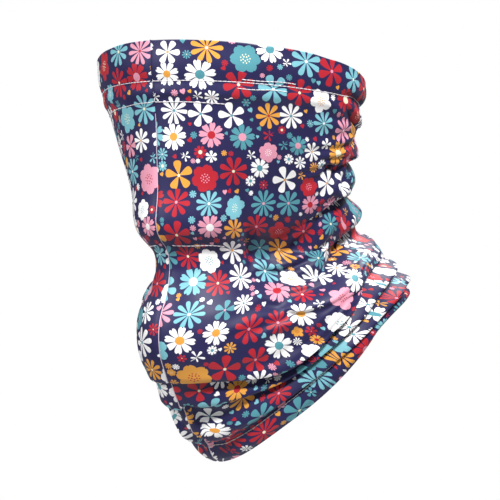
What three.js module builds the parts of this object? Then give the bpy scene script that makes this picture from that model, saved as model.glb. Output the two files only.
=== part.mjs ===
// A snood face covering: one tube of thin stretch cloth, seamed down the front, with a stitched
// hem at the top and a narrow one at the bottom, in the form that it takes when it is worn.
// Millimetres, +Z up. The wearer faces -Y and +X is the wearer's left. The origin is the middle of
// the top opening, where the head comes through.
//
// A place on the cloth has two coordinates: an angle round it, 0 at the front seam and positive
// towards the wearer's left, and a length down it from the top.
import * as THREE from 'three';

const WALL = 1.2; // the tube's cloth
const TURNED_WALL = 1.0; // cloth that is turned in at a hem or a seam
const GAP = 0.35; // between two layers
const SEAM_WIDTH = 8; // the two cloth edges of the front seam, pressed open inside
const COLUMNS = 72; // of points round the tube
const LEAN = THREE.MathUtils.degToRad(34); // a fold rises outward and sags down the cloth by this
const SHARPNESS = 0.75; // of a crease: 0 is a round wave and 1 a quarter circle on each side
const MEAN_RADIUS = 85; // of the tube, which turns an angle into a length round it
const STATIONS = 5; // angles of 0, 45, 90, 135 and 180 degrees, at which a line has values

/** Rows of values as objects, with one name for each column. */
function table(columns, rows) {
  return rows.map((row) => Object.fromEntries(columns.map((name, i) => [name, row[i]])));
}

// The smooth form that the head, neck and shoulders give the cloth. A row is a slanted ring.
// front, centre and back are y, half is half its width, and the next three are heights. flank
// draws its front corners in and heel fills its back corners out, as shares of the radius.
const SECTIONS = table(
  ['down', 'front', 'half', 'centre', 'back', 'frontZ', 'sideZ', 'backZ', 'flank', 'heel'],
  [
    [0, -96, 98, 0, 82, 4, -9, -22, 0.03, 0.0],
    [29, -94, 94, 2, 79, -26, -34, -44, 0.04, 0.0],
    [45, -91, 89, 4, 79, -42, -48, -57, 0.05, 0.0],
    [75, -89, 81, 8, 83, -70, -73, -78, 0.07, 0.0],
    [100, -88, 74, 13, 93, -94, -94, -92, 0.1, 0.0],
    [130, -89, 66, 20, 115, -123, -117, -107, 0.15, 0.04],
    [150, -78, 58, 24, 126, -140, -132, -118, 0.26, 0.06],
    [168, -77, 67, 26, 132, -158, -143, -126, 0.26, 0.06],
    [190, -85, 79, 28, 134, -184, -154, -134, 0.24, 0.06],
    [215, -83, 85, 32, 138, -208, -165, -141, 0.22, 0.07],
    [240, -68, 88, 37, 141, -233, -176, -149, 0.22, 0.09],
    [265, -47, 89, 43, 142, -257, -185, -156, 0.17, 0.11],
    [290, -18, 87, 50, 142, -281, -193, -164, 0.11, 0.13],
  ],
);

// Lines that run all the way round: edges, stitch rows, crests and valleys of the folds. crease is
// 1 where the cloth turns sharply. steps is the number of rows of facets to the next line. down
// and lift have a value for each station, the same on both sides, and far is how much further
// down the line lies on the wearer's right.
const LINES = table(
  ['name', 'crease', 'steps', 'down', 'lift', 'far'],
  [
    ['rim', 0, 1, [0, 0, 3, 7, 4], [0, 0, 0, 0, 0], 3],
    ['top_hem_belly', 0, 1, [14, 13, 13, 15, 14], [1.4, 1.0, 1.2, 1.8, 1.2], 0],
    ['top_hem_stitches', 1, 1, [26, 26, 27, 28, 28], [-0.8, -0.8, -1.4, -4.0, -2.4], 0],
    ['under_hem', 0, 1, [33, 33, 34, 38, 38], [0.8, 0.8, 0.8, 2.6, 2.0], 0],
    ['second_stitches', 1, 2, [40, 41, 42, 47, 48], [-0.5, -0.5, -0.6, -2.6, -1.8], 0],
    ['cheek', 0, 2, [72, 70, 66, 58, 60], [0, 0.5, 1.0, 3.6, 2.4], 0],
    ['ear_tuck', 1, 2, [100, 98, 84, 70, 72], [0, 0, -1.0, -3.6, -2.6], 3],
    ['jaw', 0, 2, [118, 116, 100, 84, 86], [0, 0.6, 1.6, 4.0, 3.4], 3],
    ['nape_tuck', 1, 2, [138, 138, 121, 103, 102], [-1.5, -0.5, -3.8, -5.5, -4.4], 4],
    ['jaw_roll', 0, 2, [148, 152, 146, 122, 120], [-3.0, 0.8, 4.0, 5.0, 4.0], 4],
    ['side_tuck', 1, 3, [160, 176, 170, 143, 138], [-2.5, -1.8, -6.0, -6.0, -5.0], 5],
    ['drape', 0, 3, [195, 212, 190, 166, 160], [1.5, 4.5, 7.5, 5.5, 5.0], 6],
    ['drape_edge', 1, 1, [226, 248, 206, 182, 176], [3.0, 5.0, 4.0, 2.5, 2.0], 6],
    ['drape_fold', 1, 2, [232, 256, 214, 191, 185], [-4.5, -7.0, -6.0, -4.5, -4.5], 6],
    ['second_edge', 1, 1, [246, 266, 232, 208, 203], [2.5, 3.6, 5.0, 4.0, 4.0], 4],
    ['second_fold', 1, 2, [254, 271, 246, 224, 219], [-4.0, -4.5, -5.5, -5.5, -5.0], 3],
    ['third_edge', 1, 2, [268, 277, 260, 246, 242], [2.5, 2.8, 3.6, 4.0, 3.6], 0],
    ['bottom_hem_stitches', 1, 1, [280, 283, 271, 266, 264], [-3.0, -3.0, -2.5, -2.5, -2.5], 0],
    ['bottom_hem_roll', 0, 1, [286, 288, 281, 279, 278], [1.5, 1.5, 1.4, 1.4, 1.4], 0],
    ['bottom_edge', 0, 0, [290, 293, 290, 290, 290], [0, 0, 0, 0, 0], 0],
  ],
);

// Short creases and ridges between the lines. from and to are [angle in degrees, down], bow is
// how far the middle of the crease bends off the straight way.
const CREASES = table(
  ['name', 'from', 'to', 'bow', 'width', 'lift'],
  [
    ['cheek_tuck', [29, 78], [35, 176], -2, 5, -2.6],
    ['cheek_ridge', [21, 90], [25, 170], -2, 8, 1.2],
    ['far_cheek_tuck', [-32, 110], [-28, 170], 2, 6, -2.0],
    ['ear_roll', [102, 72], [132, 45], 3, 5, 2.0],
    ['jaw_crease', [84, 128], [112, 104], 2, 5, -3.0],
    ['side_crease', [52, 160], [96, 112], 4, 5, -2.6],
    ['side_ridge', [60, 152], [100, 128], 3, 5.5, 2.4],
    ['heel_tuck', [118, 262], [140, 214], 4, 6, -3.0],
    ['heel_ridge', [126, 276], [146, 226], 4, 6, 3.0],
  ],
);

/** The smooth curve through points (xs, ys) at x: cubic pieces that share a slope at each point. */
function cubic(xs, ys, x) {
  const last = xs.length - 1;
  const chord = (k) => (ys[k + 1] - ys[k]) / (xs[k + 1] - xs[k]);
  const slope = (k) => {
    if (k === 0) return chord(0);
    if (k === last) return chord(last - 1);
    const share = (xs[k + 1] - xs[k]) / (xs[k + 1] - xs[k - 1]);
    return THREE.MathUtils.lerp(chord(k), chord(k - 1), share);
  };
  let i = 0;
  while (i < last - 1 && x >= xs[i + 1]) i += 1;
  const width = xs[i + 1] - xs[i];
  const t = (x - xs[i]) / width;
  const s = 1 - t;
  return (
    s * s * (1 + 2 * t) * ys[i] +
    t * t * (3 - 2 * t) * ys[i + 1] +
    width * t * s * (s * slope(i) - t * slope(i + 1))
  );
}

const sectionDowns = SECTIONS.map((row) => row.down);

/** The smooth form's own point at an angle and a length down the cloth. */
function form(angle, down) {
  const value = (name) => cubic(sectionDowns, SECTIONS.map((row) => row[name]), down);
  const centre = value('centre');
  const facing = Math.cos(angle) > 0;
  const depth = facing ? centre - value('front') : value('back') - centre;
  const corner = (facing ? -value('flank') : value('heel')) * Math.sin(2 * angle) ** 2;
  const ellipse = Math.hypot(Math.sin(angle) / value('half'), Math.cos(angle) / depth);
  const radius = (1 + corner) / ellipse;
  const y = centre - radius * Math.cos(angle);
  const forward = (centre - y) / depth;
  const slant = (value('frontZ') - value('backZ')) / 2;
  const sag = (value('frontZ') + value('backZ')) / 2 - value('sideZ');
  const z = value('sideZ') + forward * slant + forward ** 2 * sag;
  return new THREE.Vector3(radius * Math.sin(angle), y, z);
}

/** The unit vectors down the smooth form and out of it, by small steps both ways. */
function directions(angle, down) {
  const step = 0.5;
  const turn = step / MEAN_RADIUS;
  const along = form(angle, down + step).sub(form(angle, down - step)).normalize();
  const around = form(angle + turn, down).sub(form(angle - turn, down));
  return { along, out: along.clone().cross(around).normalize() };
}

const cosines = Array.from({ length: STATIONS }, (_, k) =>
  Array.from({ length: STATIONS }, (_, n) => Math.cos((Math.PI * k * n) / (STATIONS - 1))),
);

/** A smooth even function of the angle that has the given values at the stations: cosine waves. */
function roundAbout(values, angle) {
  const last = STATIONS - 1;
  const half = (k) => (k === 0 || k === last ? 0.5 : 1);
  let sum = 0;
  for (let n = 0; n <= last; n += 1) {
    const strength = values.reduce((s, value, k) => s + half(k) * value * cosines[k][n], 0);
    sum += (half(n) * (2 / last) * strength) * Math.cos(n * angle);
  }
  return sum;
}

/** How far the short creases lift the cloth at a place. */
function creaseLift(angle, down) {
  const round = MEAN_RADIUS * Math.atan2(Math.sin(angle), Math.cos(angle));
  return CREASES.reduce((sum, crease) => {
    const start = new THREE.Vector2(THREE.MathUtils.degToRad(crease.from[0]) * MEAN_RADIUS, crease.from[1]);
    const end = new THREE.Vector2(THREE.MathUtils.degToRad(crease.to[0]) * MEAN_RADIUS, crease.to[1]);
    const way = end.sub(start);
    const length = way.length();
    const here = new THREE.Vector2(round, down).sub(start);
    const share = here.dot(way) / length ** 2;
    const aside = way.cross(here) / length - 4 * crease.bow * share * (1 - share);
    const taper = THREE.MathUtils.smoothstep(Math.min(share, 1 - share), 0, 0.35);
    return sum + crease.lift * taper * Math.exp(-((aside / crease.width) ** 2));
  }, 0);
}

/** How much of the next line's lift holds at share t of the way from one line to the next. */
function blend(line, next, t) {
  const smooth = (1 - Math.cos(Math.PI * t)) / 2;
  const leaving = line.crease * (1 - next.crease) * (Math.sin((Math.PI * t) / 2) - smooth);
  const arriving = next.crease * (1 - line.crease) * (1 - Math.cos((Math.PI * t) / 2) - smooth);
  return smooth + SHARPNESS * (leaving + arriving);
}

const lineNumbers = LINES.map((_, i) => i);

/** The cloth's outer point at an angle and at share t of the way from line i to the next. */
function cloth(angle, i, t) {
  const far = Math.sin(angle) < 0 ? Math.sin(angle) ** 2 : 0;
  const downs = LINES.map((line) => roundAbout(line.down, angle) + far * line.far);
  const down = cubic(lineNumbers, downs, i + t);
  const next = LINES[Math.min(i + 1, LINES.length - 1)];
  const from = roundAbout(LINES[i].lift, angle);
  const to = roundAbout(next.lift, angle);
  const lift = THREE.MathUtils.lerp(from, to, blend(LINES[i], next, t)) + creaseLift(angle, down);
  const { along, out } = directions(angle, down);
  return form(angle, down)
    .addScaledVector(out, lift * Math.cos(LEAN))
    .addScaledVector(along, lift * Math.sin(LEAN));
}

// Three columns stand at the seam's edges and middle, and the rest share out the way round.
const seamAngle = SEAM_WIDTH / 2 / MEAN_RADIUS;
const evenStep = (2 * Math.PI - 2 * seamAngle) / (COLUMNS - 2);
const angles = [-seamAngle, 0, seamAngle];
for (let k = 1; k < COLUMNS - 2; k += 1) angles.push(seamAngle + k * evenStep);

const rows = [];
const rowOfLine = {};
LINES.forEach((line, i) => {
  rowOfLine[line.name] = rows.length;
  for (let k = 0; k < Math.max(line.steps, 1); k += 1) {
    const t = line.steps ? k / line.steps : 0;
    rows.push(angles.map((angle) => cloth(angle, i, t)));
  }
});

/** The unit normal out of the folded cloth at a point of the rows. */
function normalAt(row, column) {
  const above = rows[Math.max(row - 1, 0)][column];
  const below = rows[Math.min(row + 1, rows.length - 1)][column];
  const before = rows[row][(column + COLUMNS - 1) % COLUMNS];
  const after = rows[row][(column + 1) % COLUMNS];
  return below.clone().sub(above).cross(after.clone().sub(before)).normalize();
}

const normals = rows.map((row, j) => row.map((_, i) => normalAt(j, i)));

/**
 * A closed layer of cloth from row `top` to row `bottom` over the given columns. It fills the
 * space between the depths `outer` and `inner` under the tube's face. A layer over every column
 * closes on itself, and a narrower one has two side edges.
 */
function layer(top, bottom, columns, outer, inner) {
  const height = bottom - top + 1;
  const width = columns.length;
  const ring = width === COLUMNS;
  const positions = [];
  for (const depth of [outer, inner]) {
    for (let j = top; j <= bottom; j += 1) {
      for (const i of columns) {
        positions.push(...rows[j][i].clone().addScaledVector(normals[j][i], -depth).toArray());
      }
    }
  }
  const face = (j, i) => j * width + (i % width);
  const back = (j, i) => height * width + face(j, i);
  const index = [];
  const quad = (a, b, c, d) => index.push(a, b, c, a, c, d);
  const spans = ring ? width : width - 1;
  for (let i = 0; i < spans; i += 1) {
    for (let j = 0; j < height - 1; j += 1) {
      quad(face(j, i), face(j + 1, i), face(j + 1, i + 1), face(j, i + 1));
      quad(back(j, i), back(j, i + 1), back(j + 1, i + 1), back(j + 1, i));
    }
    quad(face(0, i), face(0, i + 1), back(0, i + 1), back(0, i));
    quad(face(height - 1, i), back(height - 1, i), back(height - 1, i + 1), face(height - 1, i + 1));
  }
  for (let j = 0; j < height - 1 && !ring; j += 1) {
    const end = width - 1;
    quad(face(j, 0), back(j, 0), back(j + 1, 0), face(j + 1, 0));
    quad(face(j, end), face(j + 1, end), back(j + 1, end), back(j, end));
  }
  const geometry = new THREE.BufferGeometry();
  geometry.setAttribute('position', new THREE.Float32BufferAttribute(positions, 3));
  geometry.setIndex(index);
  geometry.computeVertexNormals();
  return geometry;
}

const printed = new THREE.MeshStandardMaterial({ color: 0x39366e, roughness: 0.75, metalness: 0 });
const reverse = new THREE.MeshStandardMaterial({ color: 0xc9c7d6, roughness: 0.85, metalness: 0 });

const group = new THREE.Group();

/** Adds one named piece to the group. */
function piece(name, geometry, material) {
  const mesh = new THREE.Mesh(geometry, material);
  mesh.name = name;
  group.add(mesh);
}

const allColumns = angles.map((_, i) => i);
const seamColumns = [0, 1, 2];
const turned = WALL + GAP;
const hemFoot = rowOfLine.top_hem_stitches;
const bottomHem = rowOfLine.bottom_hem_stitches;
const bottomEdge = rowOfLine.bottom_edge;

piece('tube', layer(0, bottomEdge, allColumns, 0, WALL), printed);
piece('top_hem', layer(0, hemFoot, allColumns, turned, turned + TURNED_WALL), printed);
piece('bottom_hem', layer(bottomHem, bottomEdge, allColumns, turned, turned + TURNED_WALL), printed);
piece('front_seam', layer(hemFoot + 1, bottomHem - 1, seamColumns, turned, turned + TURNED_WALL), reverse);

export default group;
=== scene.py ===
"""A snood face covering in printed stretch jersey, in the form that it has when worn.

The frame's axes are kept: the wearer faces -Y, +X is the wearer's left, +Z is up, and the origin
is the middle of the top opening. Lengths are in millimetres until they are put into a mesh, but
those of the camera and the lamps are in metres.
"""

from collections import namedtuple

import bpy
import numpy as np
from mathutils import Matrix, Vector


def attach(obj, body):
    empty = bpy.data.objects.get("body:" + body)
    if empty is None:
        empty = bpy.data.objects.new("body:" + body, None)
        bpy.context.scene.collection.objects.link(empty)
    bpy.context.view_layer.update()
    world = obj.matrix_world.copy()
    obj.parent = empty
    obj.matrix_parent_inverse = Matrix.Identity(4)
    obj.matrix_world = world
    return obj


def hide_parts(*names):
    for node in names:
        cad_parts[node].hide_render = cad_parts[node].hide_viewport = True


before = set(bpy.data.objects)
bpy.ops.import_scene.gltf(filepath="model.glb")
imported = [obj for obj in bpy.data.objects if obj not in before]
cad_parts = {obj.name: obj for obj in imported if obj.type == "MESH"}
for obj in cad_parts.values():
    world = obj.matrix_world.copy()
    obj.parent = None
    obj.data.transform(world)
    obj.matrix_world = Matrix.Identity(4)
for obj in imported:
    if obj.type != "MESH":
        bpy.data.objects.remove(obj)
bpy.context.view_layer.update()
scene = bpy.context.scene

# ------------ the camera
# A long lens looks at the snood level, from the wearer's front left, VIEW_TURN round from straight
# in front. It sees VIEW_WIDTH at VIEW_DISTANCE, about a point AIM_RIGHT and AIM_UP of the origin.
VIEW_TURN = np.radians(34)
VIEW_DISTANCE = 1.5
VIEW_WIDTH = 0.35
AIM_RIGHT, AIM_UP = 0.0126, -0.1344
SENSOR_WIDTH = 36

towards = Vector((np.sin(VIEW_TURN), -np.cos(VIEW_TURN), 0))
rightwards = Vector((np.cos(VIEW_TURN), np.sin(VIEW_TURN), 0))
camera = bpy.data.objects.new("camera", bpy.data.cameras.new("camera"))
camera.data.sensor_width = SENSOR_WIDTH
camera.data.lens = SENSOR_WIDTH * VIEW_DISTANCE / VIEW_WIDTH
camera.location = rightwards * AIM_RIGHT + Vector((0, 0, AIM_UP)) + towards * VIEW_DISTANCE
camera.rotation_euler = (-towards).to_track_quat("-Z", "Y").to_euler()
scene.collection.objects.link(camera)
scene.camera = camera

# ------------ the tube's cloth
# One width of polyester jersey, printed with a close floral on its face and pale on its back,
# and closed by a seam down the front. The head, neck and shoulders give it its form, and its
# spare length bunches in folds at the ears and the nape and below the chin.
#
# A place on it has an angle, 0 at the front seam and growing towards the wearer's left, and a
# length down it from the top. A line runs all the way round at a length that varies a little.
MM = 0.001
WALL = 0.6
GIRTH = 540  # of the cloth that its print lies on
MEAN_RADIUS = 85  # turns an angle into a length round the cloth
SHARPNESS = 0.8  # of creases: 0 is a round wave, and 1 is a quarter wave on each side
SEAM_GROOVE_DEPTH, SEAM_GROOVE_WIDTH = 0.9, 1.05

# The smooth form, one row for each slanted ring. front, centre and back are places along Y, half
# is half the width, and the next three are heights. flank draws the front corners in and heel
# fills the back corners out, as shares of the radius.
SECTIONS = np.array([
    # down front half centre back front_z side_z back_z flank heel
    (0, -96, 98, 0, 82, 4, -9, -22, 0.03, 0),
    (29, -94, 94, 2, 79, -26, -34, -44, 0.04, 0),
    (45, -91, 89, 4, 79, -42, -48, -57, 0.05, 0),
    (75, -89, 81, 8, 83, -70, -73, -78, 0.07, 0),
    (100, -88, 74, 13, 93, -94, -94, -92, 0.10, 0),
    (130, -89, 66, 20, 115, -123, -117, -107, 0.15, 0.04),
    (150, -78, 58, 24, 126, -140, -132, -118, 0.26, 0.06),
    (168, -77, 67, 26, 132, -158, -143, -126, 0.26, 0.06),
    (190, -85, 79, 28, 134, -184, -154, -134, 0.24, 0.06),
    (215, -83, 85, 32, 138, -208, -165, -141, 0.22, 0.07),
    (240, -68, 88, 37, 141, -233, -176, -149, 0.22, 0.09),
    (265, -47, 89, 43, 142, -257, -185, -156, 0.17, 0.11),
    (290, -18, 87, 50, 142, -281, -193, -164, 0.11, 0.13),
])

# The lines. crease is 1 where the cloth turns sharply. down and lift are given at 0, 45, 90, 135
# and 180 degrees, alike on both sides, far is how much lower the line is on the wearer's right,
# and lean is the angle, from straight out towards straight down the cloth, of the lift's way.
LINES = [
    # name, crease, down, lift, far, lean
    ("rim", 0, (0, 0, 3, 7, 4), (0, 0, 0, 0, 0), 3, 34),
    ("top_hem_belly", 0, (14, 13, 13, 15, 14), (1.4, 1.0, 1.2, 1.8, 1.2), 0, 38),
    ("top_hem_stitches", 1, (26, 26, 27, 28, 28), (-0.8, -0.8, -1.4, -4.0, -2.4), 0, 38),
    ("under_hem", 0, (33, 33, 34, 38, 38), (0.8, 0.8, 0.8, 2.6, 2.0), 0, 38),
    ("second_stitches", 1, (40, 41, 42, 47, 48), (-0.5, -0.5, -0.6, -2.6, -1.8), 0, 38),
    ("cheek", 0, (72, 70, 66, 58, 60), (0, 0.5, 1.0, 2.8, 2.4), 0, 38),
    ("ear_tuck", 1, (100, 98, 84, 70, 72), (0, 0, -1.0, -3.6, -2.6), 3, 38),
    ("jaw", 0, (118, 116, 100, 84, 86), (0, 0.6, 1.6, 4.0, 3.4), 3, 38),
    ("nape_tuck", 1, (138, 138, 121, 103, 102), (-1.5, -0.5, -3.8, -4.2, -4.0), 4, 38),
    ("jaw_roll", 0, (148, 152, 146, 122, 120), (-3.0, 0.8, 3.4, 3.4, 3.4), 4, 38),
    ("side_tuck", 1, (160, 176, 170, 143, 138), (-2.5, -3.0, -6.5, -4.0, -4.0), 5, 38),
    ("drape", 0, (195, 212, 190, 166, 160), (1.5, 4.5, 7.5, 5.5, 5.0), 6, 40),
    ("drape_edge", 1, (226, 248, 205, 182, 176), (1.2, 8.4, 5.4, 2.5, 2.0), 6, 52),
    ("drape_fold", 1, (234, 257, 216, 191, 185), (-2.2, -15.0, -8.0, -4.5, -4.5), 6, 52),
    ("second_edge", 1, (246, 266, 232, 208, 203), (1.0, -0.6, 3.6, 4.0, 4.0), 4, 46),
    ("second_fold", 1, (254, 271, 246, 224, 219), (-3.0, -9.5, -7.0, -5.5, -5.0), 3, 46),
    ("third_edge", 1, (268, 277, 260, 246, 242), (2.0, 0.8, 3.2, 4.0, 3.6), 0, 38),
    ("bottom_hem_stitches", 1, (280, 283, 271, 266, 264), (-3.4, -3.6, -3.0, -2.5, -2.5), 0, 38),
    ("bottom_hem_roll", 0, (286, 288, 281, 279, 278), (1.5, 1.5, 1.4, 1.4, 1.4), 0, 38),
    ("bottom_edge", 0, (290, 293, 290, 290, 290), (0, 0, 0, 0, 0), 0, 38),
]
LINE = {row[0]: number for number, row in enumerate(LINES)}
LINE_DOWN = np.array([row[2] for row in LINES])
LINE_LIFT = np.array([row[3] for row in LINES])
CREASED, FAR_DOWN, LEAN = np.array([[row[1], row[4], row[5]] for row in LINES], float).T

# From this line down the folds are weaker by a share, most at an angle on the wearer's right, and
# less over a half width. Both are in degrees.
CALM_FROM = LINE["drape_edge"]
CALM_SHARE, CALM_MIDDLE, CALM_WIDTH = 0.88, -44, 32

# Short creases and ridges, each from one place to another, given as degrees and length down. bow
# is how far its middle lies to one side. It fades in over CREASE_FADE of its length, and out.
CREASE_FADE = 0.35
CREASES = [
    # angle, down, to angle, to down, bow, width, lift
    (29, 78, 35, 176, -2, 5, -2.6),
    (21, 90, 25, 170, -2, 8, 1.2),
    (-32, 110, -28, 170, 2, 6, -2.0),
    (100, 60, 128, 34, 3, 3.5, -2.2),
    (102, 72, 132, 45, 3, 5, 2.0),
    (104, 82, 134, 56, 3, 4, -2.6),
    (84, 128, 112, 104, 2, 5, -3.0),
    (52, 160, 96, 112, 4, 5, -2.6),
    (60, 152, 100, 128, 3, 5.5, 2.4),
    (50, 192, 88, 182, 4, 4, -2.4),
    (42, 202, 82, 196, 4, 4.5, 1.8),
    (118, 262, 140, 214, 4, 6, -3.0),
    (126, 276, 146, 226, 4, 6, 3.0),
    (-98, 66, -126, 40, 3, 4, -2.4),
    (-104, 84, -136, 52, 3, 4.5, -2.6),
    (-80, 126, -110, 100, 3, 5, -2.8),
    (-56, 158, -94, 118, 4, 5, -2.4),
    (-48, 196, -84, 180, 4, 4, -2.2),
    (-116, 258, -138, 212, 4, 6, -2.8),
    (150, 96, 172, 76, 2, 4.5, -2.2),
    (-148, 112, -168, 84, 2, 4.5, -2.2),
    (160, 172, 184, 150, 3, 5, -2.2),
    (76, 79, 114, 92, 2, 4.5, -4.0),
    (84, 94, 130, 103, 2, 4.5, 2.2),
    (74, 27, 110, 50, -2, 3.0, -2.2),
    (84, 22, 116, 42, -2, 3.0, -1.8),
    (34, 186, 66, 222, 2, 4.0, -1.8),
    (-1, 238, 18, 275, 2, 3.2, -4.0),
    (-6, 241, 13, 281, 2, 3.2, 1.8),
    (-14, 246, 9, 285, 2, 3.6, -3.4),
    (-17, 248, 4, 288, 1, 3.0, 2.2),
    (-26, 250, -1, 291, -2, 3.2, -3.4),
    (5, 257, 28, 269, 2, 2.8, -3.2),
    (-36, 60, -10, 30, 2, 6, 0.9),
    (-8, 168, -12, 236, 3, 2.4, -1.3),
    (-14, 176, -19, 232, 2, 2.6, -1.6),
    (-22, 160, -28, 226, 3, 3.0, -1.6),
    (-33, 176, -38, 236, 2, 3.2, -1.4),
    (58, 238, 96, 214, 3, 3.0, -2.4),
    (70, 208, 112, 192, 3, 3.2, -2.2),
    (46, 172, 80, 158, 2, 3.2, -2.2),
    (36, 166, 58, 178, -2, 3.4, -1.8),
    (44, -6, 52, 16, 0, 6, 0.9),
    (70, -6, 84, 18, 0, 6, 1.1),
    (-30, -8, -22, 14, 0, 7, 0.9),
]


def at_number(rows, number):
    """Each place's value in the row of its number. A row is one value, or one for each place."""
    if rows.ndim == 1:
        return rows[number]
    return np.take_along_axis(rows, number[None], axis=0)[0]


def curve_through(x, knots, values):
    """The smooth curve through the values at the knots: a cubic Hermite piece between each two.

    A knot's slope is the mean of the chords on its two sides, each weighted by the width of the
    other. values has one row for each knot, and its further axes are those of x.
    """
    widths = np.diff(knots)
    chords = (np.diff(values, axis=0).T / widths).T
    share = widths[1:] / (widths[1:] + widths[:-1])
    inner = (chords[:-1].T * share + chords[1:].T * (1 - share)).T
    slopes = np.concatenate([chords[:1], inner, chords[-1:]])
    piece = np.clip(np.searchsorted(knots, x, side="right") - 1, 0, len(widths) - 1)
    width = widths[piece]
    t = (x - knots[piece]) / width
    s = 1 - t
    before, after = at_number(values, piece), at_number(values, piece + 1)
    leaving, arriving = at_number(slopes, piece), at_number(slopes, piece + 1)
    ends = s * s * (1 + 2 * t) * before + t * t * (3 - 2 * t) * after
    return ends + width * t * s * (s * leaving - t * arriving)


def worn_form(angle, down):
    """The smooth form: rings of two half ellipses that share a width and a centre.

    A ring's radius is 1 / |(sin angle / half, cos angle / depth)|, times 1 - flank sin^2(2 angle)
    in front or 1 + heel sin^2(2 angle) behind. Its height is a parabola in how far forward a place
    is, through the heights of its front, side and back.
    """
    front, half, centre, back, front_z, side_z, back_z, flank, heel = (
        curve_through(down, SECTIONS[:, 0], column) for column in SECTIONS.T[1:]
    )
    in_front = np.cos(angle) > 0
    depth = np.where(in_front, centre - front, back - centre)
    corner = np.where(in_front, -flank, heel) * np.sin(2 * angle) ** 2
    radius = (1 + corner) / np.hypot(np.sin(angle) / half, np.cos(angle) / depth)
    forward = radius * np.cos(angle) / depth
    slant, sag = (front_z - back_z) / 2, (front_z + back_z) / 2 - side_z
    height = side_z + forward * slant + forward**2 * sag
    return np.stack([radius * np.sin(angle), centre - radius * np.cos(angle), height], axis=-1)


def degrees_from(middle, angle):
    """How far an angle in radians is from a middle in degrees: degrees, from -180 to 180."""
    return (np.degrees(angle) - middle + 180) % 360 - 180


def unit(vectors):
    """The vectors divided by their lengths."""
    return vectors / np.linalg.norm(vectors, axis=-1, keepdims=True)


def round_about(stations, angle):
    """Even functions of the angle through five values each, at 0, 45, 90, 135 and 180 degrees.

    Each is a sum of cosines of 0 to 4 times the angle. The lines come first, then the angle's axes.
    """
    number = np.arange(5)
    waves = np.linalg.solve(np.cos(np.outer(number, number) * np.pi / 4), stations.T)
    return np.moveaxis(np.cos(angle[..., None] * number) @ waves, -1, 0)


def line_down(angle, line):
    """The length down the cloth of each line, by its number, and smoothly between the lines."""
    far = np.where(np.sin(angle) < 0, np.sin(angle) ** 2, 0)
    rows = round_about(LINE_DOWN, angle) + np.multiply.outer(FAR_DOWN, far)
    return curve_through(line, np.arange(len(LINES)), rows)


def fold_lift(angle, line):
    """How far the folds lift the cloth at each line, by its number, and between the lines.

    From one line to the next the lift changes as half a cosine wave, or, between a crease and a
    smooth line, mostly as a quarter wave that is steep at the crease.
    """
    number = np.clip(np.floor(line).astype(int), 0, len(LINES) - 2)
    t = line - number
    smooth = (1 - np.cos(np.pi * t)) / 2
    leaving = CREASED[number] * (1 - CREASED[number + 1]) * (np.sin(np.pi * t / 2) - smooth)
    arriving = CREASED[number + 1] * (1 - CREASED[number]) * (1 - np.cos(np.pi * t / 2) - smooth)
    blend = smooth + SHARPNESS * (leaving + arriving)
    calm = 1 - CALM_SHARE * np.exp(-((degrees_from(CALM_MIDDLE, angle) / CALM_WIDTH) ** 2))
    rows = round_about(LINE_LIFT, angle)
    rows[CALM_FROM:] *= calm
    return at_number(rows, number) * (1 - blend) + at_number(rows, number + 1) * blend


def crease_lift(angle, down):
    """How far the short creases lift the cloth, and the groove over the front seam.

    Each crease is a Gaussian across a line with a parabolic bow, and it fades in and out along
    the line as a smooth step. It may go on past 180 degrees.
    """
    aside = (angle + np.pi) % (2 * np.pi) - np.pi
    round_way = aside * MEAN_RADIUS
    lift = -SEAM_GROOVE_DEPTH * np.exp(-((round_way / SEAM_GROOVE_WIDTH) ** 2))
    for start, start_down, end, end_down, bow, width, height in CREASES:
        turn = 0 if abs(end) <= 180 else np.where(aside < 0, 2 * np.pi * MEAN_RADIUS, 0)
        start_round, end_round = np.radians([start, end]) * MEAN_RADIUS
        way_round, way_down = end_round - start_round, end_down - start_down
        length = np.hypot(way_round, way_down)
        here_round, here_down = round_way + turn - start_round, down - start_down
        share = (here_round * way_round + here_down * way_down) / length**2
        across = (way_round * here_down - way_down * here_round) / length
        across = across - 4 * bow * share * (1 - share)
        fade = np.clip(np.minimum(share, 1 - share) / CREASE_FADE, 0, 1)
        lift = lift + height * fade * fade * (3 - 2 * fade) * np.exp(-((across / width) ** 2))
    return lift


def cloth(angle, line):
    """The cloth's face: the smooth form, moved by the lift of its folds and creases.

    The way of the move is cos(lean) times the form's normal and sin(lean) times its way down, so
    that a crest sags over the valley below it.
    """
    down = line_down(angle, line)
    turn, step = 0.006, 0.5
    along = unit(worn_form(angle, down + step) - worn_form(angle, down - step))
    around = worn_form(angle + turn, down) - worn_form(angle - turn, down)
    outward = unit(np.cross(along, around))
    lean = np.radians(np.interp(line, np.arange(len(LINES)), LEAN))[..., None]
    lift = (fold_lift(angle, line) + crease_lift(angle, down))[..., None]
    return worn_form(angle, down) + lift * (np.cos(lean) * outward + np.sin(lean) * along)


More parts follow.
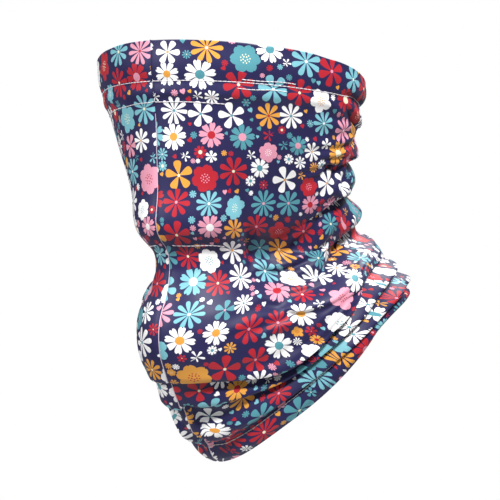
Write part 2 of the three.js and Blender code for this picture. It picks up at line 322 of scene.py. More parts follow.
# The grid's columns are close at the seam, at SEAM_COLUMNS, so that its groove is round. The others
# start at FIRST_FREE, and are closer together by FINE_SHARE over FINE_WIDTH about FINE_MIDDLE, in
# front, all in radians. There are FEWEST_STEPS rows or more from one line to the next, and in front
# they are at most about STEP_DOWN apart.
SEAM_COLUMNS = np.array([0, 0.007, 0.015, 0.028])
FREE_COLUMNS, FIRST_FREE = 236, 0.05
FINE_MIDDLE, FINE_WIDTH, FINE_SHARE, FINE_SAMPLES = 0.24, 0.8, 0.7, 2000
STEP_DOWN, FEWEST_STEPS = 1.9, 4
even = np.linspace(FIRST_FREE, 2 * np.pi - FIRST_FREE, FINE_SAMPLES)
from_middle = (even - FINE_MIDDLE + np.pi) % (2 * np.pi) - np.pi
density = np.cumsum(1 + FINE_SHARE * np.exp(-((from_middle / FINE_WIDTH) ** 2)))
free = np.interp(np.linspace(density[0], density[-1], FREE_COLUMNS), density, even)
angles = np.concatenate([SEAM_COLUMNS, free, 2 * np.pi - SEAM_COLUMNS[::-1]])
widths_down = np.diff(LINE_DOWN[:, :3], axis=0).max(axis=1)
row_steps = [max(FEWEST_STEPS, round(width / STEP_DOWN)) for width in widths_down]
first_row = np.concatenate([[0], np.cumsum(row_steps)])
lines = np.interp(np.arange(first_row[-1] + 1), first_row, np.arange(len(LINES)))
angle_grid, line_grid = np.meshgrid(angles, lines)

# Where the cloth is slack: the middle of each place in degrees and length down, its half widths
# in the same, how much longer than its form the cloth is, down it and round it, and its shear.
SLACK = [
    # angle, down, widths, longer down, longer round, shear
    (105, 78, 30, 48, 0.2, 0, 0.1),
    (-105, 78, 30, 48, 0.2, 0, -0.1),
    (180, 110, 50, 90, 0.18, 0, 0),
    (70, 160, 34, 24, 0.14, 0, 0.05),
    (-70, 160, 34, 24, 0.14, 0, -0.05),
    (14, 256, 40, 26, 0.14, 0, 0.05),
    (80, 225, 50, 44, 0.14, 0, 0.05),
    (-80, 225, 50, 44, 0.18, 0, -0.05),
    (28, 130, 14, 60, 0, 0.05, 0.04),
]
# How the cloth settles: in how many steps, how stiff it is, how strongly it is held where it
# started, more so in the EDGE_ROWS or so rows at its edges, and how rough it starts.
SETTLE_STEPS, BEND = 900, 0.08
HOLD, EDGE_HOLD, EDGE_ROWS = 0.0015, 0.4, 3
NOISE, NOISE_SEED = 0.8, 11
LEAST_SQUARE = 0.1


def patch(angle, down, middle, middle_down, width, width_down):
    """A Gaussian about a middle, with half widths, in degrees and in a measure down the cloth."""
    away = degrees_from(middle, angle) / width
    return np.exp(-(away**2) - ((down - middle_down) / width_down) ** 2)


def slack_at(angle, down):
    """How much longer the cloth is, down it and round it, and its shear: sums of patches."""
    slack = np.zeros((3,) + angle.shape)
    for row in SLACK:
        slack += np.multiply.outer(row[4:], patch(angle, down, *row[:4]))
    return slack


def settle(start, angle, down):
    """The cloth after it has settled: its slack has buckled it into small wrinkles.

    Every edge and diagonal of the grid is drawn step by step towards its own length, all at once:
    a point moves by a quarter of the sum of what its edges ask. Then it moves against BEND times
    the curvature of the change in curvature, which keeps wrinkles smooth, and by its hold times
    the way back to where it started.
    """
    longer_down, longer_round, shear = slack_at(angle[:, :-1], down[:, :-1])
    points = start[:, :-1]
    rows = len(points)

    def round_next(values):
        return np.roll(values, -1, axis=1)

    def length(vectors):
        return np.linalg.norm(vectors, axis=-1)

    across = length(round_next(points) - points)
    along = length(points[1:] - points[:-1])
    slant = length(round_next(points)[1:] - points[:-1])
    turned = (slant**2 - across[:-1] ** 2 - along**2) / 2
    across_rest = across * (1 + longer_round)
    along_rest = along * (1 + (longer_down[1:] + longer_down[:-1]) / 2)
    turned = turned + shear[:-1] * across[:-1] * along
    square = across_rest[:-1] ** 2 + along_rest**2
    slant_rest = np.sqrt(np.maximum(square + 2 * turned, LEAST_SQUARE))
    other_rest = np.sqrt(np.maximum(square - 2 * turned, LEAST_SQUARE))

    def curvature(values):
        above, below = 2 * values[:1] - values[1:2], 2 * values[-1:] - values[-2:-1]
        padded = np.concatenate([above, values, below])
        sides = np.roll(values, 1, axis=1) + round_next(values)
        return (padded[:-2] + padded[2:] + sides) / 4 - values

    def pull(from_points, to_points, rest):
        apart = to_points - from_points
        size = length(apart)
        return apart * ((size - rest) / size / 2)[..., None]

    first_curvature = curvature(points)
    noise = np.random.default_rng(NOISE_SEED).normal(size=(rows, points.shape[1]))
    normals = normals_of(start)[:, :-1]
    moved = points + normals * (noise * NOISE)[..., None]
    rows_in = np.minimum(np.arange(rows), rows - 1 - np.arange(rows))
    hold = HOLD + EDGE_HOLD * np.exp(-rows_in / EDGE_ROWS)[:, None, None]
    for _ in range(SETTLE_STEPS):
        step = np.zeros_like(moved)
        beside = round_next(moved)
        move = pull(moved, beside, across_rest)
        step += move - np.roll(move, 1, axis=1)
        move = pull(moved[:-1], moved[1:], along_rest)
        step[:-1] += move
        step[1:] -= move
        move = pull(moved[:-1], beside[1:], slant_rest)
        step[:-1] += move
        step[1:] -= np.roll(move, 1, axis=1)
        move = pull(beside[:-1], moved[1:], other_rest)
        step[:-1] += np.roll(move, 1, axis=1)
        step[1:] -= move
        moved = moved + step / 4
        moved = moved - BEND * curvature(curvature(moved) - first_curvature)
        moved = moved + hold * (points - moved)
    return np.concatenate([moved, moved[:, :1]], axis=1)


def normals_of(points):
    """The outward normals of a grid whose last column is its first again."""
    ring = np.concatenate([points[:, -2:-1], points, points[:, 1:2]], axis=1)
    return unit(np.cross(np.gradient(points, axis=0), ring[:, 2:] - ring[:, :-2]))


down_grid = line_down(angle_grid, line_grid)
face = settle(cloth(angle_grid, line_grid), angle_grid, down_grid)
face_out = normals_of(face)
face_down = unit(np.gradient(face, axis=0))

# Where each place lies on the flat cloth: U goes round from the seam, in proportion to the smooth
# form's arc, and V goes down along the folds. Below the chin it goes further, because fine puckers
# take up a share of the cloth there, in a patch with its middle and half widths in degrees and lines.
PUCKER_SHARE, PUCKER_PATCH = 0.45, (4, 15.5, 24, 2.2)
smooth_steps = np.diff(worn_form(angle_grid, down_grid), axis=1)
arcs = np.linalg.norm(smooth_steps, axis=-1).cumsum(axis=1)
flat_round = np.pad(arcs / arcs[:, -1:] * GIRTH, ((0, 0), (1, 0)))
steps_down = np.linalg.norm(np.diff(face, axis=0), axis=-1)
steps_down *= 1 + PUCKER_SHARE * patch(angle_grid[1:], line_grid[1:], *PUCKER_PATCH)
flat_down = np.pad(steps_down.cumsum(axis=0), ((1, 0), (0, 0)))

SHARP_ANGLE = np.radians(70)


def new_piece(name, points, faces, materials, places=None):
    """A smoothly shaded piece from its points and faces, in its materials.

    places are where the faces' corners lie on the flat cloth. A piece that has them gets sharp
    edges too, where two faces meet at more than SHARP_ANGLE.
    """
    mesh = bpy.data.meshes.new(name)
    mesh.from_pydata(points.reshape(-1, 3) * MM, [], faces)
    mesh.polygons.foreach_set("use_smooth", np.ones(len(faces), bool))
    if places is not None:
        layer = mesh.uv_layers.new(name="flat_cloth")
        layer.uv.foreach_set("vector", (places * MM).astype(np.float32).ravel())
        mesh.set_sharp_from_angle(angle=SHARP_ANGLE)
    for material in materials:
        mesh.materials.append(material)
    piece = bpy.data.objects.new(name, mesh)
    scene.collection.objects.link(piece)
    return piece


def ring_piece(name, rings, materials):
    """A closed ring of cloth through the rings of its section, in order down its outer side.

    A ring is (row, depth, drop, flat, finish): a row of the grid, how far inside the face and how
    far below the row it lies, its V on the flat cloth, and the number of the material below it.
    """
    rows, depth, drop = (np.array([ring[part] for ring in rings]) for part in range(3))
    flat = np.stack([ring[3] + np.zeros(len(angles)) for ring in rings])
    points = face[rows] - face_out[rows] * depth[:, None, None]
    points = points + face_down[rows] * drop[:, None, None]
    count, columns = len(rows), len(angles) - 1
    number = np.arange(count * columns).reshape(count, columns)
    below = np.roll(number, -1, axis=0)
    corners = [number, below, np.roll(below, -1, axis=1), np.roll(number, -1, axis=1)]
    quads = np.stack(corners, axis=-1).reshape(-1, 4)
    places = np.stack([flat_round[rows], flat], axis=-1)
    below = np.roll(places, -1, axis=0)
    corners = np.stack([places[:, :-1], below[:, :-1], below[:, 1:], places[:, 1:]], axis=2)
    piece = new_piece(name, points[:, :-1], quads, materials, corners)
    finish = np.repeat([ring[4] for ring in rings], columns).astype(np.int32)
    piece.data.polygons.foreach_set("material_index", finish)
    return piece


# The tube's print and finish. The face is printed in flat inks on a navy ground with a close floral:
# large flowers, small flowers and sprigs in the gaps between them, and tiny hearts and stars in
# the gaps that are left. The back is pale, and the print shows through it faintly.
def maths(operation, reflected=False):
    """A method of Shade that adds a Math node, with its own value second when it is reflected."""
    def method(self, other):
        values = (other, self) if reflected else (self, other)
        return self.node("Math", {"operation": operation}, enumerate(values))
    return method


class Shade:
    """A node's socket. Its operators add Math nodes, and node() adds any other node."""

    def __init__(self, tree, socket=None):
        self.tree, self.socket = tree, socket

    def node(self, kind, settings=(), sockets=()):
        """The first output of a new node, made with its settings and its sockets' values or links.

        The setting "stops" gives the places and colours of a ramp with no blend between them.
        """
        made = self.tree.nodes.new("ShaderNode" + kind)
        for name, value in dict(settings).items():
            if name == "stops":
                ramp = made.color_ramp
                ramp.interpolation = "CONSTANT"
                ramp.elements.remove(ramp.elements[1])
                for place, colour in value:
                    ramp.elements.new(place).color = (*colour, 1)
                ramp.elements.remove(ramp.elements[0])
            else:
                setattr(made, name, value)
        for name, value in dict(sockets).items():
            if isinstance(value, Shade):
                self.tree.links.new(value.socket, made.inputs[name])
            else:
                made.inputs[name].default_value = value
        return Shade(self.tree, next(output for output in made.outputs if output.enabled))

    def plain(self, colour):
        """A colour that is the same all over."""
        made = self.node("RGB")
        made.socket.default_value = (*colour, 1)
        return made

    def __getitem__(self, name):
        return Shade(self.tree, self.socket.node.outputs[name])

    def math(self, operation, *others):
        return self.node("Math", {"operation": operation}, enumerate((self, *others)))

    def pick(self, stops):
        """The colour of the last stop that is not above the value."""
        return self.node("ValToRGB", {"stops": stops}, {"Fac": self})

    def parts(self):
        """The three numbers of a vector or colour."""
        apart = self.node("SeparateXYZ", (), {0: self})
        return apart["X"], apart["Y"], apart["Z"]

    def over(self, below, mask):
        """This colour where the mask is 1, and the one below where it is 0."""
        inputs = {0: mask, 6: below, 7: self}
        return self.node("Mix", {"data_type": "RGBA"}, inputs)

    __add__ = __radd__ = maths("ADD")
    __mul__ = __rmul__ = maths("MULTIPLY")
    __sub__, __rsub__ = maths("SUBTRACT"), maths("SUBTRACT", True)
    __truediv__, __rtruediv__ = maths("DIVIDE"), maths("DIVIDE", True)
    __lt__, __gt__ = maths("LESS_THAN"), maths("GREATER_THAN")
    least, most, power = maths("MINIMUM"), maths("MAXIMUM"), maths("POWER")


# The motifs' kinds: the width of the cell that each has to itself, how unevenly the cells lie, and
# the least and the most that a motif reaches from its centre.
Kind = namedtuple("Kind", "cell unevenness least most")
KINDS = LARGE, SMALL, TINY = [
    Kind(20.5, 0.45, 0, 10.5),
    Kind(9.5, 0.5, 2.5, 7.0),
    Kind(5.6, 0.6, 1.6, 2.6),
]
CLOSENESS = 1.12  # of two of a kind: 1 lets them touch, and more lets their petals mesh
PRINT_START = (255, 40)

NAVY = (0.020, 0.018, 0.080)
WHITE, CREAM = (0.93, 0.92, 0.92), (0.84, 0.80, 0.58)
RED, PINK = (0.47, 0.018, 0.032), (0.76, 0.32, 0.43)
SKY, TEAL = (0.20, 0.50, 0.58), (0.09, 0.31, 0.37)
MUSTARD = (0.78, 0.35, 0.055)

# Inks for a motif's random number: its petals' and, for either half of another number, its heart's.
INK_STARTS = (0.0, 0.38, 0.58, 0.69, 0.79, 0.92)
PETAL_INKS = list(zip(INK_STARTS, (WHITE, RED, MUSTARD, SKY, PINK, TEAL)))
HEART_INKS = list(zip(INK_STARTS, (MUSTARD, CREAM, CREAM, WHITE, RED, CREAM)))
OTHER_HEART_INKS = list(zip(INK_STARTS, (TEAL, PINK, RED, CREAM, WHITE, PINK)))
# Shapes for another: a tenth of the petals' number, their width, and the depth of their notch. A
# width over 1 stands for a blossom's lobes, and one over SLIM for petals with a large heart.
FLOWER_SHAPES = [
    (0.00, (0.8, 0.84, 0.13)),
    (0.20, (0.9, 0.68, 0)),
    (0.36, (0.8, 0.68, 0)),
    (0.50, (1.0, 0.68, 0)),
    (0.60, (0.6, 0.68, 0)),
    (0.72, (0.5, 0.60, 0)),
    (0.80, (0.5, 1.25, 0.07)),
    (0.90, (0.6, 1.25, 0.07)),
]
SLIM, HEART_SIZE, SLIM_HEART_SIZE = 0.8, 0.30, 0.10


def scatter(place, kind, feature="F1"):
    """A cell pattern at a place: which motif of a kind is nearest, or next with feature F2."""
    settings = {"voronoi_dimensions": "2D", "feature": feature}
    sockets = {"Vector": place, "Scale": 1 / (kind.cell * MM), "Randomness": kind.unevenness}
    return place.node("TexVoronoi", settings, sockets)


def reach(centre, kind):
    """How far a motif reaches: half the way to the next of its kind, and clear of larger kinds.

    It is the kind's most at most, and nothing where it would be less than the kind's least.
    """
    half_way = scatter(centre, kind, "N_SPHERE_RADIUS") * (kind.cell * MM * CLOSENESS)
    free = half_way.least(kind.most * MM)
    for larger in KINDS[:KINDS.index(kind)]:
        for feature in ("F1", "F2"):
            motif = scatter(centre, larger, feature)
            gap = motif["Distance"] * (larger.cell * MM) - reach(motif["Position"], larger)
            free = free.least(gap)
    return free * (free > kind.least * MM) if kind.least else free


def motif_frame(place, kind, slant=2 * np.pi):
    """A place in its motif's own polar coordinates, and the motif's three random numbers.

    The distance from the centre is 1 at the motif's reach. The angle is turned by the third
    number times slant.
    """
    motif = scatter(place, kind)
    centre, numbers = motif["Position"], motif["Color"].parts()
    away = place.node("VectorMath", {"operation": "SUBTRACT"}, {0: place, 1: centre})
    length = away.node("VectorMath", {"operation": "LENGTH"}, {0: away})["Value"]
    x, y, _ = away.parts()
    angle = y.math("ARCTAN2", x) + numbers[2] * slant
    return length / reach(centre, kind).most(1e-6), angle, numbers


def petal_place(distance, angle, count):
    """A place along and beside the nearest petal of count petals, folded over its middle line.

    The angle is folded into half a petal's sector, pi / count, as a triangle wave.
    """
    folded = angle.math("PINGPONG", np.pi / count)
    return distance * folded.math("COSINE"), distance * folded.math("SINE")


PETAL_FULLNESS, NOTCH_WIDTH = 0.92, 0.1


def petals(distance, angle, count, width, notch):
    """A mask of petals: beside < 0.92 width tan(pi / count) along^p sqrt(1 - along^6), notched.

    p is 1.3 - width / 2, so wide petals run together. The notch is a V over the middle line.
    """
    along, beside = petal_place(distance, angle, count)
    half_sector = np.pi / count
    slope = half_sector.math("TANGENT") if isinstance(half_sector, Shade) else np.tan(half_sector)
    blunt = (1 - along.power(6)).most(0).math("SQRT")
    edge = along.power(1.3 - width * 0.5) * blunt * width * PETAL_FULLNESS * slope
    bite = notch * (1 - beside / NOTCH_WIDTH).most(0)
    return (beside < edge) * (along + bite < 1)


# A blossom has round lobes about its middle, with a small notch in each, and two rings of stamens.
LOBE_AWAY, LOBE_RADIUS, LOBE_NOTCH, BLOSSOM_MIDDLE = 0.60, 0.39, 0.07, 0.5
STAMENS = [(5, 0.15, 0.05), (9, 0.30, 0.045)]  # how many, the ring's radius and a dot's


def dot(along, beside, away, radius):
    """A mask of the round dot that lies at a length along the middle line."""
    return (along - away).power(2) + beside.power(2) < radius**2


def blossom_lobes(distance, angle, count):
    """A mask of a blossom's rounded lobes, which run together in the middle."""
    along, beside = petal_place(distance, angle, count)
    bite = LOBE_NOTCH * (1 - beside / LOBE_NOTCH).most(0)
    lobes = dot(along + bite, beside, LOBE_AWAY, LOBE_RADIUS)
    return lobes.most(distance < BLOSSOM_MIDDLE)


def flowers(place, kind, ground):
    """Flowers of a kind printed over a ground: petals and a heart, or a blossom with stamens."""
    distance, angle, (ink, shape, turn) = motif_frame(place, kind)
    tenth, width, notch = shape.pick(FLOWER_SHAPES).parts()
    count = tenth * 10
    is_blossom = width > 1
    lobes = blossom_lobes(distance, angle, count) * is_blossom
    outline = lobes.most(petals(distance, angle, count, width, notch) * (width < 1))
    printed = ink.pick(PETAL_INKS).over(ground, outline)
    heart_size = HEART_SIZE - (HEART_SIZE - SLIM_HEART_SIZE) * (width < SLIM)
    centre = (distance < heart_size) * (width < 1)
    for number, ring, radius in STAMENS:
        stamens = dot(*petal_place(distance, angle, number), ring, radius)
        centre = centre.most(stamens * is_blossom)
    other = (turn * 7).math("FRACT") > 0.5
    heart = ink.pick(OTHER_HEART_INKS).over(ink.pick(HEART_INKS), other)
    return heart.over(printed, centre)


# Sprigs, as a share of the small motifs, with their stem, the fan of their petals and their two
# leaves, in shares of the motif's reach. The fan's turn is in half turns.
SPRIG_SHARE = 0.38
STEM_BOW, STEM_HALF_WIDTH, STEM_END = 0.25, 0.035, -0.95
FAN_DOWN, FAN_REACH, FAN_TURN, FAN_COUNT, FAN_WIDTH = 0.05, 1.02, 0.245, 5.5, 0.24
FAN_EDGE_SLOPE, FAN_EDGE = 0.12, 0.95
LEAF_AWAY, LEAF_DOWN, LEAF_LENGTH, LEAF_WIDTH = 0.30, 0.38, 0.30, 0.11
LEAF_COSINE, LEAF_SINE = 0.8, 0.6


def sprigs_and_flowers(place, ground):
    """Small motifs: most are flowers, and the rest sprigs of three petals on a curved stem.

    A sprig's petals fan out above its middle. Below is its stem, a thin parabola, with two
    elliptic leaves.
    """
    distance, angle, (ink, shape, _) = motif_frame(place, SMALL)
    x, y = distance * angle.math("COSINE"), distance * angle.math("SINE")
    aside = x.math("ABSOLUTE")
    bent = (x - STEM_BOW * y.power(2)).math("ABSOLUTE")
    stem = (bent < STEM_HALF_WIDTH) * (y < 0) * (y > STEM_END)
    raised = y + FAN_DOWN
    fan_length = (x.power(2) + raised.power(2)).math("SQRT") / FAN_REACH
    fan_angle = raised.math("ARCTAN2", x) + FAN_TURN * np.pi
    along, beside = petal_place(fan_length, fan_angle, FAN_COUNT)
    edge = along.power(0.9) * (1 - along.power(6)).most(0).math("SQRT") * FAN_WIDTH
    fan = (beside < edge) * (y > FAN_EDGE_SLOPE * aside) * (aside < FAN_EDGE)
    out, up = aside - LEAF_AWAY, y + LEAF_DOWN
    leaf_along = (out * LEAF_COSINE - up * LEAF_SINE) / LEAF_LENGTH
    leaf_across = (out * LEAF_SINE + up * LEAF_COSINE) / LEAF_WIDTH
    leaf = leaf_along.power(2) + leaf_across.power(2) < 1
    is_sprig = (shape * 9).math("FRACT") > 1 - SPRIG_SHARE
    sprig = ink.pick(PETAL_INKS).over(ground, fan.most(stem).most(leaf))
    return sprig.over(flowers(place, SMALL, ground), is_sprig)


# Hearts, as a share of the tiny motifs, the most that one is turned, and its shape. The others are
# stars. FEWER_WHITE is the start of the inks' range that tiny motifs leave out.
HEART_SHARE, HEART_TURN, HEART_SCALE = 0.55, 0.8, 1.1
HEART_UP, HEART_HEIGHT, HEART_DIP, HEART_FULLNESS = 0.12, 1.15, 0.72, 0.62
STAR_PETALS, STAR_WIDTH = 8, 0.8
FEWER_WHITE = 0.28


def hearts_and_stars(place, ground):
    """Tiny motifs: hearts, nearly upright, and stars of eight petals.

    A heart is x^2 + (1.15 (y + 0.12) - 0.72 sqrt|x|)^2 < 0.62.
    """
    distance, angle, (ink, shape, _) = motif_frame(place, TINY, HEART_TURN)
    x = distance * angle.math("COSINE") * HEART_SCALE
    y = distance * angle.math("SINE") * -HEART_SCALE
    lobe = (y + HEART_UP) * HEART_HEIGHT - HEART_DIP * x.math("ABSOLUTE").math("SQRT")
    heart = x.power(2) + lobe.power(2) < HEART_FULLNESS
    star = petals(distance, angle, STAR_PETALS, STAR_WIDTH, 0)
    mask = heart * (shape < HEART_SHARE) + star * (shape > HEART_SHARE)
    coloured = ink * (1 - FEWER_WHITE) + FEWER_WHITE
    return coloured.pick(PETAL_INKS).over(ground, mask)


# A pale line is painted along the front seam: its half width, where it starts below
# the top edge, and its colour.
SEAM_LINE, SEAM_LINE_START, SEAM_LINE_COLOUR = 0.28, 49, (0.66, 0.55, 0.64)


def face_colour(tree):
    """The print on the flat cloth: large motifs over small over tiny ones, and the seam's line.

    U folded at half the girth, as a triangle wave, is how far a place lies from the seam.
    """
    uv = tree.node("UVMap", {"uv_map": "flat_cloth"})
    start = [part * MM for part in PRINT_START] + [0]
    place = uv.node("VectorMath", {"operation": "ADD"}, {0: uv, 1: start})
    tiny = hearts_and_stars(place, tree.plain(NAVY))
    printed = flowers(place, LARGE, sprigs_and_flowers(place, tiny))
    u, v, _ = uv.parts()
    from_seam = u.math("PINGPONG", GIRTH / 2 * MM)
    at_seam = (from_seam < SEAM_LINE * MM) * (v > SEAM_LINE_START * MM)
    return tree.plain(SEAM_LINE_COLOUR).over(printed, at_seam)


BACK_PALE, BACK_PALENESS = (0.62, 0.61, 0.66), 0.8


def back_colour(tree):
    """The unprinted back, with the print's shadow showing through."""
    return tree.plain(BACK_PALE).over(face_colour(tree), BACK_PALENESS)


# How wide the knit's stitches are and how far apart, and what gives them relief.
WALE, COURSE = 0.75, 0.6
COURSE_SLANT, WALE_HEIGHT, COURSE_HEIGHT, KNIT_DEPTH = 1.2, 0.7, 0.5, 0.0002
SHEEN_ROUGHNESS, SPECULAR = 0.4, 0.3


def principled(name, values):
    """A new material, and its shader with these values in its sockets."""
    material = bpy.data.materials.new(name)
    material.use_nodes = True
    shader = material.node_tree.nodes["Principled BSDF"]
    for socket, value in values.items():
        shader.inputs[socket].default_value = value
    return material, shader


def finished(name, colour_of, roughness, sheen, knit=0):
    """A material whose base colour comes from a function of its tree.

    With knit above 0 it has a bump of that strength: V stitches of fine jersey in wales, on the
    flat cloth's own U and V.
    """
    material, shader = principled(name, {
        "Roughness": roughness,
        "Sheen Weight": sheen,
        "Sheen Roughness": SHEEN_ROUGHNESS,
        "Specular IOR Level": SPECULAR,
    })
    tree = Shade(material.node_tree)
    tree.tree.links.new(colour_of(tree).socket, shader.inputs["Base Color"])
    if knit:
        u, v, _ = tree.node("UVMap", {"uv_map": "flat_cloth"}).parts()
        wale = (u * (1 / (WALE * MM))).math("PINGPONG", 0.5)
        course = (v * (1 / (COURSE * MM)) + wale * COURSE_SLANT).math("PINGPONG", 0.5)
        height = wale * WALE_HEIGHT + course * COURSE_HEIGHT
        sockets = {"Strength": knit, "Distance": KNIT_DEPTH, "Height": height}
        tree.tree.links.new(tree.node("Bump", (), sockets).socket, shader.inputs["Normal"])
    return material


printed_cloth = finished("printed_cloth", face_colour, 0.5, 0.05, knit=0.25)
cloth_back = finished("cloth_back", back_colour, 0.7, 0.15, knit=0.3)

last_row = len(lines) - 1
rings = [(row, 0, 0, flat_down[row], 0) for row in range(last_row + 1)]
rings += [(row, WALL, 0, flat_down[row], 1) for row in range(last_row, -1, -1)]
tube = ring_piece("tube_cloth", rings, [printed_cloth, cloth_back])
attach(tube, "root")
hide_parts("tube")

# ------------ the turned hems
# The cloth is folded over to the inside at the top and at the bottom edge, with its printed face
# showing on the inside, and stitched down round its raw edge. The top hem is wide enough to draw
# up over the nose, and the bottom one is narrow.
HEM_GAP, HEM_WALL = 0.15, 0.6
HEM_OUTER, HEM_INNER = WALL + HEM_GAP, WALL + HEM_GAP + HEM_WALL
FOLD_LENGTH = np.pi * HEM_INNER / 2  # of cloth, in the fold at an edge
FOLD_TURNS = 8  # points round a half circle, with its two ends


def half_round(row, start, end, side, flat_start, flat_end):
    """The rings of a half circle from one depth to another, above a row (side -1) or below it (1).

    Depth is middle - radius cos(turn), drop is side |radius| sin(turn), for turn from 0 to pi, and
    V goes evenly from flat_start to flat_end.
    """
    middle, radius = (start + end) / 2, (end - start) / 2
    turns = np.linspace(0, np.pi, FOLD_TURNS)[1:-1]
    depths, drops = middle - radius * np.cos(turns), side * abs(radius) * np.sin(turns)
    flats = [flat_start + (flat_end - flat_start) * turn / np.pi for turn in turns]
    return [(row, depth, drop, flat, 0) for depth, drop, flat in zip(depths, drops, flats)]


hem_row = first_row[LINE["top_hem_stitches"]]
turned_up = [-FOLD_LENGTH - flat_down[row] for row in range(hem_row + 1)]
rings = [(row, HEM_OUTER, 0, turned_up[row], 1) for row in range(hem_row + 1)]
rings += half_round(hem_row, HEM_OUTER, HEM_INNER, 1, turned_up[-1], turned_up[-1])
rings += [(row, HEM_INNER, 0, turned_up[row], 0) for row in range(hem_row, -1, -1)]
rings += half_round(0, HEM_INNER, 0, -1, turned_up[0], flat_down[0])
rings += [(0, 0, 0, flat_down[0], 0)]
top_hem = ring_piece("top_hem_turned", rings, [printed_cloth, cloth_back])

hem_row = first_row[LINE["bottom_hem_stitches"]]
turned_in = 2 * flat_down[-1] - flat_down + FOLD_LENGTH
rings = [(row, HEM_OUTER, 0, turned_in[row], 1) for row in range(hem_row, last_row + 1)]
rings += [(last_row, 0, 0, flat_down[-1], 0)]
rings += half_round(last_row, 0, HEM_INNER, 1, flat_down[-1], turned_in[-1])
rings += [(row, HEM_INNER, 0, turned_in[row], 0) for row in range(last_row, hem_row - 1, -1)]
rings += half_round(hem_row, HEM_INNER, HEM_OUTER, -1, turned_in[hem_row], turned_in[hem_row])
bottom_hem = ring_piece("bottom_hem_turned", rings, [printed_cloth, cloth_back])

for piece, node in ((top_hem, "top_hem"), (bottom_hem, "bottom_hem")):
    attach(piece, "root")
    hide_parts(node)

# ------------ the seam's inside
# The two edges of the cloth are sewn face to face down the front and pressed flat together
# inside the tube, to the wearer's right of the seam. They show the cloth's pale back, and run
# from hem to hem.
STRIP_COLUMNS = np.arange(-5, 3)
STRIP_GAP, STRIP_THICKNESS = 0.1, 0.5


def pressed_strip(name, rows, material):
    """A closed strip against the back of the tube's cloth, over some rows of its grid.

    Its section goes over STRIP_COLUMNS at STRIP_GAP from the cloth's back, and returns at
    STRIP_GAP + STRIP_THICKNESS.
    """
    there_and_back = np.concatenate([STRIP_COLUMNS, STRIP_COLUMNS[::-1]])
    depth = WALL + STRIP_GAP + STRIP_THICKNESS * np.repeat([0, 1], len(STRIP_COLUMNS))
    place = np.ix_(rows, there_and_back)
    points = face[:, :-1][place] - face_out[:, :-1][place] * depth[:, None]
    count, size = points.shape[:2]
    number = np.arange(count * size).reshape(count, size)
    beside = np.roll(number, -1, axis=1)
    quads = np.stack([number[:-1], beside[:-1], beside[1:], number[1:]], -1).reshape(-1, 4)
    faces = quads.tolist() + [number[0, ::-1].tolist(), number[-1].tolist()]
    across = np.arange(size) * STRIP_THICKNESS - GIRTH
    places = np.stack([np.tile(across, count), np.repeat(flat_down[rows, 0], size)], axis=-1)
    return new_piece(name, points, faces, [material], places[np.concatenate(faces)])


first, last = first_row[LINE["top_hem_stitches"]] + 2, first_row[LINE["bottom_hem_stitches"]] - 2
seam = pressed_strip("seam_edges", np.arange(first, last + 1), cloth_back)
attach(seam, "root")
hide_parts("front_seam")

# ------------ the stitches
# Pale polyester thread in a lock stitch. One row holds each hem, with rows sewn over it on the
# cheek, a second row under the top hem ends in a cut tail, and two short rows, one on each side
# of the seam, shape the chin.
STITCH_PITCH, STITCH_LENGTH, THREAD_RADIUS, STITCH_BOW = 3.1, 3.0, 0.33, 0.25
STITCH_SINK = 0.15  # how far a stitch's ends lie in the cloth, as a share of the thread's radius
STITCH_RINGS, STITCH_SIDES = 5, 6
FEWEST_POINTS, POINTS_FOR_A_DEGREE = 12, 1.2  # of a row's path
TWIST_LENGTH, TWIST_DISTORTION = 1.2, 2.0
# The greyer of the two thread colours is painted shade, for the grooves in the thread's twist.
THREAD_PALE, THREAD_TWIST_SHADE = (0.84, 0.80, 0.82), (0.62, 0.56, 0.62)


def thread_colour(tree):
    """Off-white thread, with painted shade as greyer bands in the twist between its strands."""
    settings = {"wave_type": "BANDS", "bands_direction": "DIAGONAL"}
    place, scale = tree.node("TexCoord")["Object"], 1 / (TWIST_LENGTH * MM)
    sockets = {"Vector": place, "Scale": scale, "Distortion": TWIST_DISTORTION}
    # The wave's bands are painted shade between the twisted strands.
    twist_shade = tree.node("TexWave", settings, sockets)["Fac"]
    return tree.plain(THREAD_PALE).over(tree.plain(THREAD_TWIST_SHADE), twist_shade)


white_thread = finished("white_thread", thread_colour, 0.4, 0.1)


def on_face(angle, line):
    """The settled face and its outward normals at some angles and lines, linear in the grid."""
    column = np.interp(angle % (2 * np.pi), angles, np.arange(len(angles)))
    row = np.interp(line, lines, np.arange(len(lines)))
    left = np.minimum(column.astype(int), len(angles) - 2)
    upper = np.minimum(row.astype(int), len(lines) - 2)
    s, t = (column - left)[:, None], (row - upper)[:, None]

    def at(values):
        above = (1 - s) * values[upper, left] + s * values[upper, left + 1]
        below = (1 - s) * values[upper + 1, left] + s * values[upper + 1, left + 1]
        return (1 - t) * above + t * below

    return at(face), unit(at(face_out))


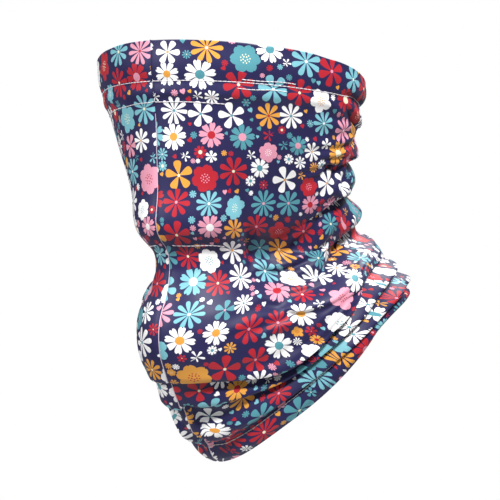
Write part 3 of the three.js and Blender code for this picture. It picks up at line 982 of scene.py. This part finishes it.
def thread_stitches(points, out):
    """Vertices and faces of stitches along a path: each is a tube that bows up out of the cloth.

    At t from -1 to 1 along a stitch its middle is STITCH_BOW (1 - t^2) above its ends, and its
    radius is THREAD_RADIUS sqrt(1 - 0.6 t^4).
    """
    gone = np.concatenate([[0], np.linalg.norm(np.diff(points, axis=0), axis=1).cumsum()])
    middles = np.arange(STITCH_PITCH / 2, gone[-1] - STITCH_PITCH / 3, STITCH_PITCH)
    t = np.linspace(-1, 1, STITCH_RINGS)
    at = middles[:, None] + t * STITCH_LENGTH / 2
    centre, normal = (
        np.stack([np.interp(at, gone, values[:, axis]) for axis in range(3)], axis=-1)
        for values in (points, out)
    )
    normal = unit(normal)
    along = unit(np.gradient(centre, axis=1))
    side = np.cross(along, normal)
    rise = STITCH_BOW * (1 - t * t) - STITCH_SINK * THREAD_RADIUS
    centre = centre + normal * rise[:, None]
    turn = np.arange(STITCH_SIDES) / STITCH_SIDES * 2 * np.pi
    swell = THREAD_RADIUS * np.sqrt(1 - 0.6 * t**4)[:, None, None]
    rim = np.cos(turn)[:, None] * normal[:, :, None] + np.sin(turn)[:, None] * side[:, :, None]
    vertices = centre[:, :, None] + swell * rim
    number = np.arange(vertices[..., 0].size).reshape(vertices.shape[:3])
    beside = np.roll(number, -1, axis=2)
    quads = np.stack([number[:, :-1], number[:, 1:], beside[:, 1:], beside[:, :-1]], -1)
    ends = number[:, 0].tolist() + number[:, -1, ::-1].tolist()
    return vertices.reshape(-1, 3), quads.reshape(-1, 4).tolist() + ends


def stitched_piece(name, paths):
    """One piece of thread from the stitches of several paths."""
    vertices, faces = [], []
    for path in paths:
        new, quads = thread_stitches(*path)
        start = sum(map(len, vertices))
        vertices.append(new)
        faces += [[corner + start for corner in quad] for quad in quads]
    piece = new_piece(name, np.concatenate(vertices), faces, [white_thread])
    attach(piece, "root")
    return piece


def row_path(start, end, line, wander=0):
    """A stitch row's path from one angle to another, in degrees, along a line's number.

    wander moves the row up and down the cloth as one wave of that size.
    """
    count = max(FEWEST_POINTS, int(abs(end - start) * POINTS_FOR_A_DEGREE))
    angle = np.radians(np.linspace(start, end, count))
    share = np.linspace(0, 1, len(angle))
    return on_face(angle, line + wander * np.sin(2 * np.pi * share))


top_line = LINE["top_hem_stitches"]
top_rows = stitched_piece("top_hem_stitches", [
    row_path(0, 360, top_line),
    row_path(38, 62, top_line - 0.22, 0.03),
    row_path(36, 58, top_line + 0.42, 0.05),
])
second_line = LINE["second_stitches"]
second_row = stitched_piece("second_row_stitches", [
    row_path(-64, 31, second_line, 0.04),
    row_path(30.4, 34.2, second_line - 0.35, 0.12),
])
chin_line = LINE["nape_tuck"] + 0.4
chin_rows = stitched_piece("chin_stitches", [
    row_path(4, 23, chin_line, 0.05),
    row_path(-4, -23, chin_line, 0.05),
])
bottom_line = LINE["bottom_hem_stitches"] + 0.12
bottom_row = stitched_piece("bottom_hem_stitches", [row_path(0, 360, bottom_line)])

# ------------ the floor and the light
# A plain pale disc lies well below the snood. The sky is seen white, and its own light is dim, so
# that the shape comes from soft lamps to the right and the left of the camera, with one behind.
FLOOR_DROP, FLOOR_RADIUS, FLOOR_CORNERS = 900, 800, 96
FLOOR_GREY, FLOOR_ROUGHNESS = 0.75, 0.9
SKY_LIGHT = 0.15
LAMPS = [
    # name, how far right of, in front of and above the snood as the camera sees it, size, power
    ("key_lamp", 0.6, 1.1, 1.15, 0.25, 42),
    ("fill_lamp", -1.2, 0.7, 0.8, 0.6, 21),
    ("back_lamp", 0.7, -1.1, 1.3, 0.8, 22),
]

turn = np.arange(FLOOR_CORNERS) / FLOOR_CORNERS * 2 * np.pi
rim = np.stack([np.cos(turn), np.sin(turn), 0 * turn], axis=-1) * FLOOR_RADIUS
white_floor, _ = principled("white_floor", {
    "Base Color": (FLOOR_GREY, FLOOR_GREY, FLOOR_GREY, 1),
    "Roughness": FLOOR_ROUGHNESS,
    "Specular IOR Level": 0,
})
floor = new_piece("floor", rim - (0, 0, FLOOR_DROP), [range(FLOOR_CORNERS)], [white_floor])

world = bpy.data.worlds.new("white_sky")
world.use_nodes = True
sky = Shade(world.node_tree)
seen = sky.node("LightPath")["Is Camera Ray"] * (1 - SKY_LIGHT) + SKY_LIGHT
background = world.node_tree.nodes["Background"]
background.inputs["Color"].default_value = (1, 1, 1, 1)
world.node_tree.links.new(seen.socket, background.inputs["Strength"])
scene.world = world
scene.view_settings.view_transform = "Standard"

middle = Vector((0, 0, AIM_UP))
for name, right, forward, up, size, power in LAMPS:
    light = bpy.data.lights.new(name, "AREA")
    light.size, light.energy = size, power
    lamp = bpy.data.objects.new(name, light)
    lamp.location = middle + rightwards * right + towards * forward + Vector((0, 0, up))
    lamp.rotation_euler = (middle - lamp.location).to_track_quat("-Z", "Y").to_euler()
    scene.collection.objects.link(lamp)
